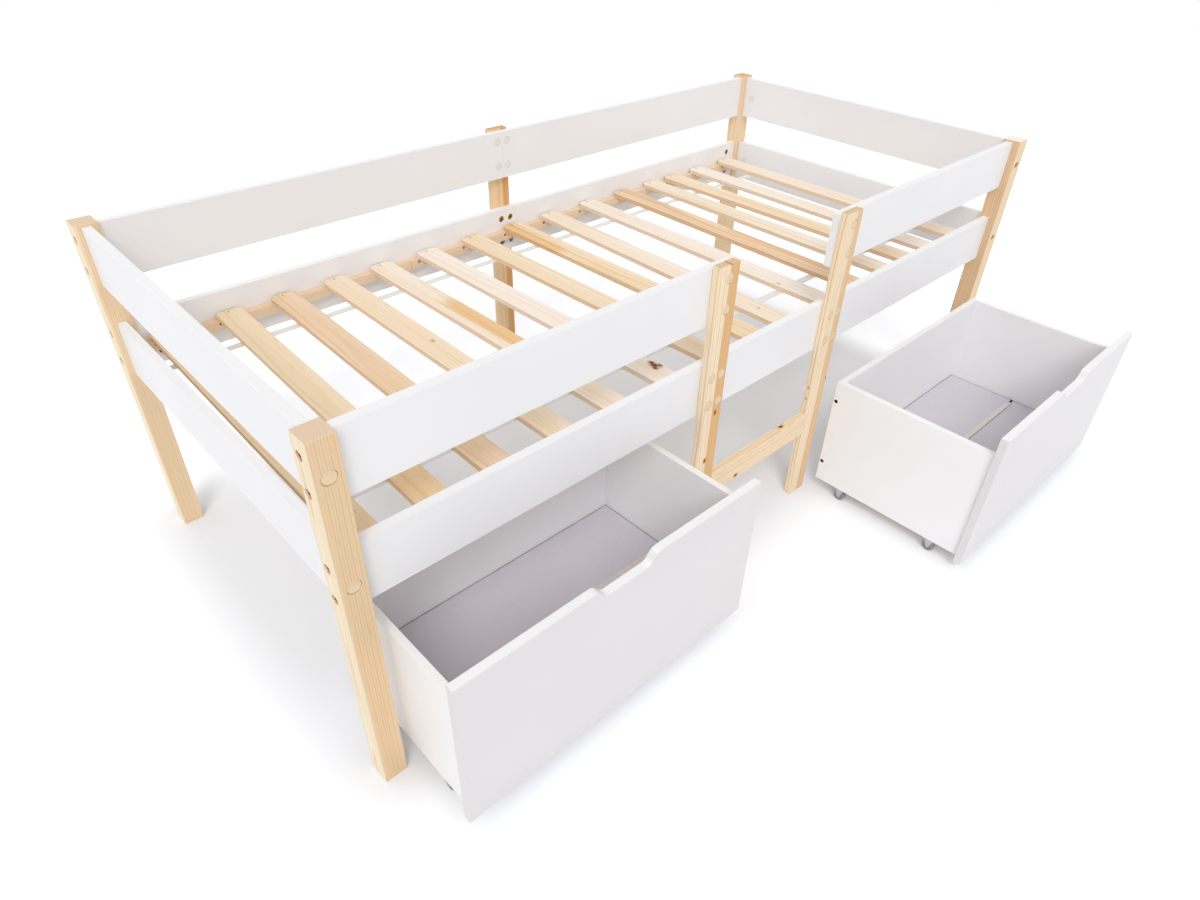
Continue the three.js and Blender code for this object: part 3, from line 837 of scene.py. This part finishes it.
def fasten_rails():
    for node in RAILS:
        ease(node, RAIL_EASE)
    back_seam = middle("post_back_middle").x
    rail_nuts("back", FRONTWARD, back_seam, back_seam)
    rail_nuts("front", BACKWARD, middle("stile_left").x, middle("stile_right").x)
    for node, side in (("rail_back_upper_left", -1), ("rail_back_upper_right", 1)):
        x, y = back_seam + side * SEAM_OFFSET * MM, face_of(node, FRONTWARD)
        caps(node, [(Vector((x, y, z)), FRONTWARD) for z in heights(node, UPPER_LIFT)])
    for end, out in (("left", RIGHTWARD), ("right", LEFTWARD)):
        for node in (f"rail_{end}_{level}" for level in LEVELS):
            x, setback = face_of(node, out), END_SETBACK * MM
            ys = (face_of(node, FRONTWARD) + setback, face_of(node, BACKWARD) - setback)
            caps(node, [(Vector((x, y, middle(node).z)), out) for y in ys])


def rail_nuts(face, out, left_seam, right_seam):
    """Nuts on the inner faces of one side's rails. The upper back rails have caps instead."""
    offset, setback = SEAM_OFFSET * MM, NUT_SETBACK * MM
    first = face_of(f"rail_{face}_lower_left", LEFTWARD) + setback
    last = face_of(f"rail_{face}_lower_right", RIGHTWARD) - setback
    spots = {f"rail_{face}_lower_left": (first, left_seam - offset),
             f"rail_{face}_lower_right": (right_seam + offset, last)}
    if face == "front":
        spots["rail_front_lower_middle"] = (left_seam + offset, right_seam - offset)
        spots["rail_front_upper_left"] = (first, left_seam + offset)
        spots["rail_front_upper_right"] = (right_seam - offset, last)
    for node, xs in spots.items():
        y = face_of(node, out)
        places = [(Vector((x, y, z)), out) for x in xs for z in heights(node)]
        bores(node, "bed_frame", places, BOLT_BORE, BOLT_DEPTH)
        bolt_heads(f"nuts_{node}", places)


def screw_slats():
    places = []
    for node in SLAT_NODES:
        low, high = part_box(node)
        for end, side in ((low.y, 1), (high.y, -1)):
            y = end + side * SLAT_SCREW_SETBACK * MM
            x = middle(node).x + lean_of(node) * (y - middle(node).y)
            places.append((Vector((x, y, high.z)), UPWARD))
    screw_heads("slat_screws", "bed_frame", places, SLAT_SCREW_RADIUS)


def screw_ledgers():
    places = []
    for node, (out, seed) in LEDGERS.items():
        y, z = face_of(node, out), middle(node).z + LEDGER_SCREW_LIFT * MM
        for start in [face_of(node, LEFTWARD)] + ledger_seams(node):
            for step in range(LEDGER_SCREWS):
                x = start + (LEDGER_SCREW_START + step * LEDGER_SCREW_SPACE) * MM
                places.append((Vector((x, y, z)), out))
    screw_heads("ledger_screws", "bed_frame", places, LEDGER_SCREW_RADIUS)


# Drawers

DRAWER_BOARDS = ("front", "side_left", "side_right", "back")
DRAWER_EASE, DRAWER_FLOOR_EASE = 0.7, 0.9
SIDE_SCREW_RISES = (57, 242)
SIDE_SCREW_BORE, SIDE_SCREW_DEPTH = 5.2, 3.2
SIDE_SCREW_RADIUS, SIDE_SCREW_SINK = 5.0, 0.8
# On the floor's joint. LIFT is above the floor, SINK is into it, and GAP is at the left end
STRIP_WIDTH, STRIP_LIFT, STRIP_SINK, STRIP_GAP = 13, 2.2, 0.5, 2
# The slot and the seam are dark pieces of painted shade, in the strip's open end and along its front edge
SLOT_WIDTH, SLOT_LENGTH, SLOT_LIFT = 6, 21, 0.6
SEAM_LINE, SEAM_LIFT = 1.2, 0.4
PLATE_SIZE, PLATE_EASE, PLATE_TOP = (24, 36, 2), 0.5, 37.7
BATTEN_WIDTH, BATTEN_EASE, BATTEN_SEED = 30, 1.2, 61
SPINE_WIDTH, SPINE_SEED, UNDER_GAP = 34, 62, 0.3
FORK_GAP, FORK_SHEET = 0.9, 1.6
FORK_WIDE, FORK_NARROW, FORK_STEPS = 12, 5, 8
# Stands an outline up, with its thickness along X
FORK_TURN = Matrix(((0, 0, 1, 0), (0, 1, 0, 0), (1, 0, 0, 0), (0, 0, 0, 1)))
# An axle's end, from its head inward: each point's radius, and how far outside the fork it is
RIVET = ((2.6, 0.9), (3.4, 0.4), (3.4, -0.1), (2.4, -0.1))
# A wheel's section, from its hole to its tread: each point's radius, and its share of half the width
TREAD = ((2.8, 1), (5.6, 1), (6.0, 0.94), (6.3, 0.66), (10.6, 0.66),
         (11.0, 0.92), (11.4, 1), (13.4, 1), (14.5, 0.86), (15.0, 0.62))
SPOKES, SPOKE_SHARE, SPOKE_SIZE, SPOKE_MIDDLE, SPOKE_EASE = 6, 1.7, (1.2, 5.2), 8.6, 0.2


def drawer_screws(side):
    """Screws through the sides into the back panel's ends."""
    places = []
    back = middle(f"{side}_drawer_back").y
    for end, out in ENDS:
        node = f"{side}_drawer_side_{end}"
        x, bottom = face_of(node, out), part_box(node)[0].z
        own = [(Vector((x, back, bottom + rise * MM)), out) for rise in SIDE_SCREW_RISES]
        bores(node, f"{side}_drawer", own, SIDE_SCREW_BORE, SIDE_SCREW_DEPTH)
        places += own
    screw_heads(f"{side}_drawer_side_screws", f"{side}_drawer", places, SIDE_SCREW_RADIUS, SIDE_SCREW_SINK)


def floor_strip(side):
    """The strip over the joint in the floor, with dark pieces of painted shade in the open slot at its right
    end and along the seam in front of it.
    """
    low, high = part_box(f"{side}_drawer_floor")
    across = (low.y + high.y) / 2
    seam = across - (STRIP_WIDTH + SEAM_LINE) / 2 * MM
    start, join = low.x + STRIP_GAP * MM, high.x - SLOT_LENGTH * MM
    for name, left, right, y, width, lift, material in (
            ("strip", start, join, across, STRIP_WIDTH, STRIP_LIFT, strip_plastic),
            ("strip_slot_shade", join, high.x, across, SLOT_WIDTH, SLOT_LIFT, painted_slot_shade),
            ("strip_seam_shade", start, join, seam, SEAM_LINE, SEAM_LIFT, painted_seam_shade)):
        half = width / 2 * MM
        bm = bmesh.new()
        block(bm, Vector((left, y - half, high.z - STRIP_SINK * MM)),
              Vector((right, y + half, high.z + lift * MM)))
        strip = mesh_object(f"{side}_drawer_floor_{name}", bm, material, smooth=SOFT)
        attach(strip, f"{side}_drawer")


def battens(side):
    """Two battens and a spine under the floor, in place of the plain underframe."""
    node = f"{side}_drawer_underframe"
    low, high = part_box(f"{side}_drawer_floor")
    bottom, top = PLATE_TOP * MM, low.z - UNDER_GAP * MM
    width, across, half = BATTEN_WIDTH * MM, (low.y + high.y) / 2, SPINE_WIDTH / 2 * MM
    bm = bmesh.new()
    for x in (low.x, high.x - width):
        block(bm, Vector((x, low.y, bottom)), Vector((x + width, high.y, top)), BATTEN_EASE)
    look = dict(centre=middle(node), ring=3.4, pith=(-40, -60), contrast=0.6)
    wood = timber(f"pine_{side}_battens", "honey", "Y", seed=BATTEN_SEED, **look)
    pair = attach(mesh_object(f"{side}_drawer_battens", bm, wood, smooth=SOFT), f"{side}_drawer")
    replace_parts(pair, node)
    bm = bmesh.new()
    gap = UNDER_GAP * MM
    block(bm, Vector((low.x + width + gap, across - half, bottom)),
          Vector((high.x - width - gap, across + half, top)), BATTEN_EASE)
    wood = timber(f"pine_{side}_spine", "honey", "X", seed=SPINE_SEED, **look)
    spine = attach(mesh_object(f"{side}_drawer_spine", bm, wood, smooth=SOFT), f"{side}_drawer")


def fork_outline(rise):
    """A leg that narrows from its top plate to a round end at the axle, seen along the axle."""
    turns = [math.pi * i / FORK_STEPS for i in range(FORK_STEPS + 1)]
    foot = [(-FORK_NARROW * math.sin(turn), -FORK_NARROW * math.cos(turn)) for turn in turns]
    return [(rise, -FORK_WIDE)] + foot + [(rise, FORK_WIDE)]


def forks(side):
    """Pressed caster forks with their axles, fixed under the battens."""
    top = PLATE_TOP - PLATE_SIZE[2] / 2
    bm = bmesh.new()
    for place in CORNERS:
        low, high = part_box(f"{side}_drawer_wheel_{place}")
        centre = (low + high) / 2
        half = (high.x - low.x) / 2 / MM + FORK_GAP
        bar(bm, Vector((centre.x, centre.y, top * MM)), PLATE_SIZE, PLATE_EASE)
        for step in (-half - FORK_SHEET, half):
            leg = Matrix.Translation(centre + RIGHTWARD * step * MM) @ FORK_TURN
            plate(bm, fork_outline(top - centre.z / MM), leg, FORK_SHEET)
        outer = [(circle(radius), half + FORK_SHEET + proud) for radius, proud in RIVET]
        rings = [(shape, -height) for shape, height in outer] + list(reversed(outer))
        stack(bm, rings, basis(RIGHTWARD, centre), AXLE_ROUND)
    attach(mesh_object(f"{side}_drawer_caster_forks", bm, zinc, smooth=CRISP), f"{side}_drawer")


def wheel(side, place):
    """A moulded wheel: a crowned tread, a thin web with ribs, and a hub."""
    node = f"{side}_drawer_wheel_{place}"
    low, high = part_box(node)
    centre = (low + high) / 2
    half = (high.x - low.x) / 2 / MM
    profile = [(radius, -share) for radius, share in TREAD] + list(reversed(TREAD))
    rings = [(circle(radius), share * half) for radius, share in profile]
    bm = bmesh.new()
    stack(bm, rings, basis(RIGHTWARD, centre), WHEEL_ROUND, closed=False)
    for spoke in range(SPOKES):
        turn = Matrix.Translation(centre) @ Matrix.Rotation(2 * math.pi * spoke / SPOKES, 4, "X")
        made = bmesh.new()
        bar(made, UPWARD * SPOKE_MIDDLE * MM, (SPOKE_SHARE * half, *SPOKE_SIZE), SPOKE_EASE, segments=1)
        made.transform(turn)
        rib = bpy.data.meshes.new("rib")
        made.to_mesh(rib)
        made.free()
        bm.from_mesh(rib)
        bpy.data.meshes.remove(rib)
    obj = mesh_object(f"{side}_caster_wheel_{place}", bm, wheel_plastic, smooth=CRISP)
    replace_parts(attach(obj, f"{side}_wheel_{place}"), node)


def dress_drawer(side):
    for board in DRAWER_BOARDS:
        node = f"{side}_drawer_{board}"
        dress(node, front_paint if board == "front" else drawer_paint)
        ease(node, DRAWER_EASE, segments=2)
    drawer_screws(side)
    dress(f"{side}_drawer_floor", drawer_paper(side))
    ease(f"{side}_drawer_floor", DRAWER_FLOOR_EASE)
    floor_strip(side)
    battens(side)
    forks(side)
    for place in CORNERS:
        wheel(side, place)


# The studio. Its sizes are in metres

FLOOR_SIZE, FLOOR_THICKNESS, FLOOR_DROP = 18, 0.02, 0.0004
SKY_LEVEL = 0.6
# The floor's glow before the bed and behind it, the skirt over which it fades, and its right edge's step in
NEAR_GLOW, FAR_GLOW = 0.18, 0.30
SKIRT_INSIDE, SKIRT_OUTSIDE, RIGHT_INSET = 0.03, 0.13, 0.08
# Each lamp: where its light comes from, its strength, and its spread in degrees
LAMPS = {
    "front_sun": ((-0.45, -0.52, 0.73), 1.12, 24),
    "side_sun": ((-0.8, -0.6, 0.5), 0.25, 30),
    "back_sun": ((-0.4, 0.7, 0.9), 0.36, 58),
    "right_sun": ((0.7, -0.8, 0.6), 0.23, 58),
}


def studio_floor():
    """A white floor with the bed's soft shade on it.

    A little light for the camera alone keeps it white away from the bed, most of all behind it and to its
    right, where the lamps throw the shade. It fades out over a skirt along the bed's outline."""
    net = Net("studio_floor_paint")
    place = net.place()
    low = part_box("post_front_left")[0]
    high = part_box("post_back_right")[1] + LEFTWARD * RIGHT_INSET
    half = (high - low) / 2
    x, y, z = net.split(net.vector("SUBTRACT", place, tuple((low + high) / 2)))
    sides = ((x, half.x), (y, half.y))
    beyond = [net.math("MAXIMUM", net.less(net.math("ABSOLUTE", value), limit - SKIRT_INSIDE), 0.0)
              for value, limit in sides]
    distance = net.vector("LENGTH", net.join(*beyond, 0.0))
    away = net.span(distance, 0.0, SKIRT_INSIDE + SKIRT_OUTSIDE, smooth=True)
    glows = [net.span(value, limit - SKIRT_INSIDE, limit + SKIRT_OUTSIDE, NEAR_GLOW, FAR_GLOW, smooth=True)
             for value, limit in sides]
    level = net.times(away, net.math("MAXIMUM", *glows))
    level = net.times(net.seen_directly(), level)
    cloud = net.span(net.noise(place, 0.8, 2.0), *NOISE_MIDDLE)
    tone = net.blend(cloud, rgb(237, 239, 243), rgb(240, 242, 246))
    values = {"Base Color": tone, "Roughness": 0.9, "Specular IOR Level": 0.1}
    shader = net.add("ShaderNodeBsdfPrincipled", values)
    glow = net.add("ShaderNodeEmission", {"Strength": level})
    total = net.add("ShaderNodeAddShader", {0: shader.outputs[0], 1: glow.outputs[0]})
    side = FLOOR_SIZE / 2
    bm = bmesh.new()
    block(bm, Vector((-side, -side, -FLOOR_THICKNESS)), Vector((side, side, -FLOOR_DROP)))
    mesh_object("studio_floor", bm, net.surface(total))


def studio_world():
    """An even pale sky that is white where it is seen."""
    net = Net("studio", bpy.data.worlds)
    level = net.span(net.seen_directly(), 0.0, 1.0, SKY_LEVEL, 1.0)
    sky = net.add("ShaderNodeBackground", {"Color": (1, 1, 1, 1), "Strength": level})
    bpy.context.scene.world = net.surface(sky, "ShaderNodeOutputWorld")


def studio_lamps():
    for name, (source, strength, spread) in LAMPS.items():
        light = bpy.data.lights.new(name, "SUN")
        light.energy = strength
        light.angle = math.radians(spread)
        obj = bpy.data.objects.new(name, light)
        bpy.context.scene.collection.objects.link(obj)
        obj.rotation_mode = "QUATERNION"
        obj.rotation_quaternion = Vector(source).to_track_quat("Z", "Y")


# The camera, worked out from the photograph's edges: a turn vector, its place from the bed's front left
# corner in millimetres, and a focal length in the photograph's pixels
TURN = Vector((2.0973, -0.8166, 0.4383))
EYE = Vector((-294.67, -831.69, 1367.37))
FOCAL_PIXELS, PICTURE_WIDTH, SENSOR = 808.18, 1200, 36.0
NEAREST, FARTHEST = 0.05, 60


def add_camera():
    lens = bpy.data.cameras.new("camera")
    lens.sensor_width = SENSOR
    lens.lens = FOCAL_PIXELS / PICTURE_WIDTH * SENSOR
    lens.clip_start = NEAREST
    lens.clip_end = FARTHEST
    camera = bpy.data.objects.new("camera", lens)
    bpy.context.scene.collection.objects.link(camera)
    right, down, forward = Matrix.Rotation(TURN.length, 3, TURN.normalized())
    columns = Matrix((right, -down, -forward)).transposed()
    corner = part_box("post_front_left")[0]
    camera.matrix_world = Matrix.Translation(corner + EYE * MM) @ columns.to_4x4()
    bpy.context.scene.camera = camera


# Materials that several pieces share

# Each paint's second tone is a painted highlight for faces that look up
rail_paint = painted("painted_rail", rgb(242, 241, 242), rgb(244, 243, 244))
drawer_paint = painted("painted_drawer_board", rgb(248, 247, 248), rgb(249, 248, 249))
front_paint = painted("painted_drawer_front", rgb(228, 225, 225), rgb(246, 244, 245))
webbing_material = webbing()
brass = metal("brass_plate", rgb(208, 150, 56), 0.32)
# Painted shade: dark materials for bolt sockets and the rings under bolts, and for the floor strip's slot and
# seam
painted_socket_shade = plastic("socket_shade", rgb(62, 40, 20), 0.7)
painted_slot_shade = plastic("slot_shade", rgb(22, 16, 22), 0.8)
painted_seam_shade = plastic("seam_shade", rgb(140, 122, 126), 0.7)
zinc = metal("zinc_plate", rgb(196, 197, 199), 0.34)
steel = metal("dark_screw_steel", rgb(88, 50, 34), 0.46)
wheel_plastic = plastic("caster_wheel_grey", rgb(152, 154, 156), 0.38)
cap_plastic = plastic("cap_white", rgb(238, 237, 236), 0.4)
strip_plastic = plastic("strip_beige", rgb(236, 225, 220), 0.5)
plug_timber = timber("pine_plugs", "plug", "X", middle("rung"), seed=50, ring=2.6, pith=(-30, -30),
                     contrast=0.5)

# The picture

for rail in RAILS:
    dress(rail, rail_paint)
dress_uprights()
dress_slats()
fasten_posts()
fasten_stiles()
fasten_rails()
screw_slats()
screw_ledgers()
for side in DRAWERS:
    dress_drawer(side)
studio_floor()
studio_world()
studio_lamps()
add_camera()
bpy.context.scene.view_settings.view_transform = "Standard"
